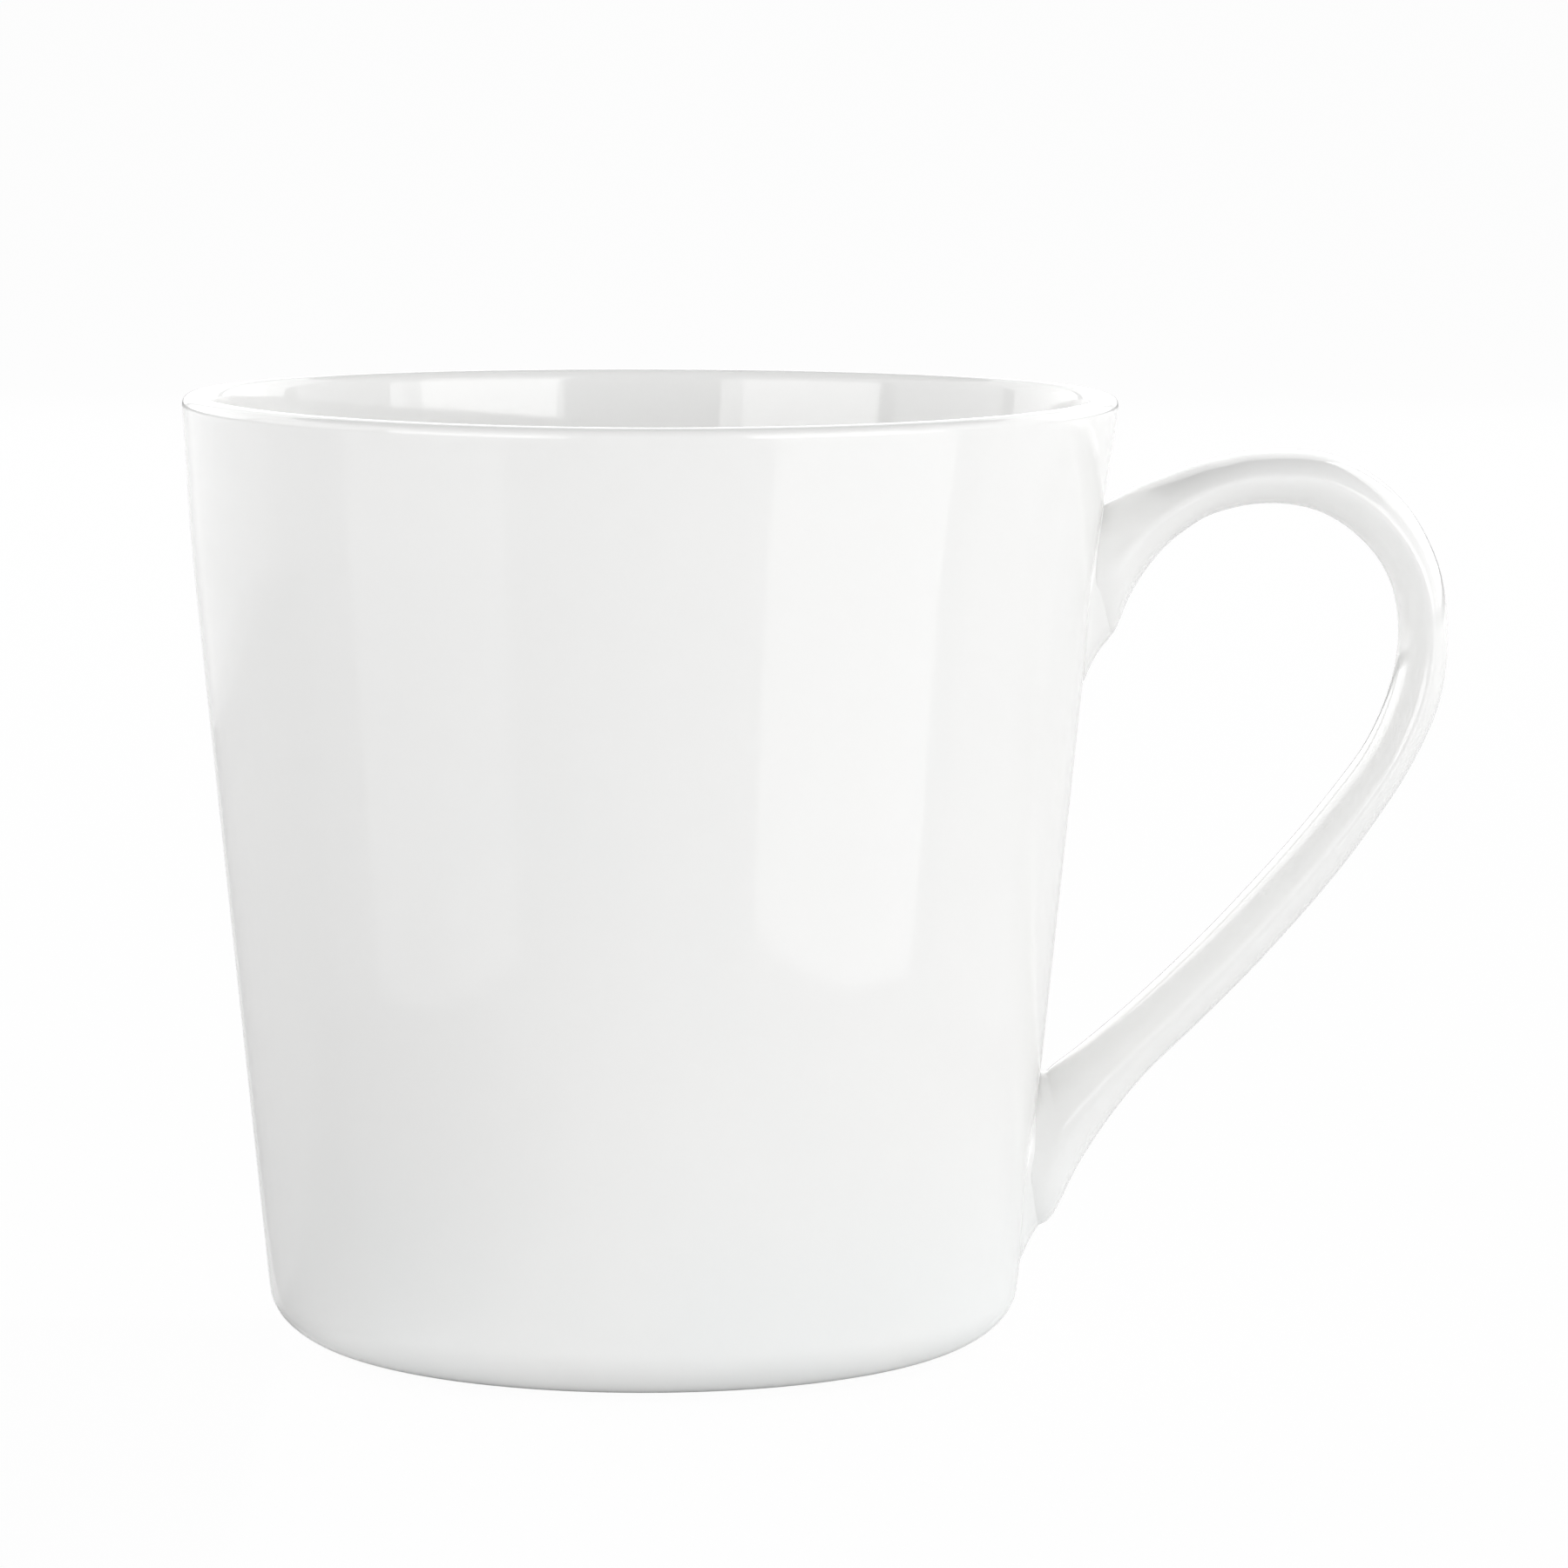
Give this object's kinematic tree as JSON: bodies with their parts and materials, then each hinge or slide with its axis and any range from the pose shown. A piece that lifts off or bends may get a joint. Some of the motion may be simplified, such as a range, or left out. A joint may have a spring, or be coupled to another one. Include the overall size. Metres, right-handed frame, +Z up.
{
  "type": "ceramic mug",
  "caption": "White glazed ceramic mug with a straight flaring wall, rounded heel, bare standing ring and an ear-shaped strap handle.",
  "frame": {"origin": "on the cup's axis, in the plane of the table under the standing ring", "axes": "+Z up the cup's axis, +X towards the handle, +Y to the left of the handle seen from the cup"},
  "size_m": [0.1223, 0.0898, 0.0919],
  "materials": {
    "white_glaze": "clear gloss glaze over a white body",
    "bare_clay": "unglazed, fine sanded"
  },
  "bodies": {
    "root": {"cup_body": "white_glaze", "foot_ring": "bare_clay", "handle": "white_glaze", "upper_handle_joint": "white_glaze", "lower_handle_joint": "white_glaze"}
  },
  "joints": []
}
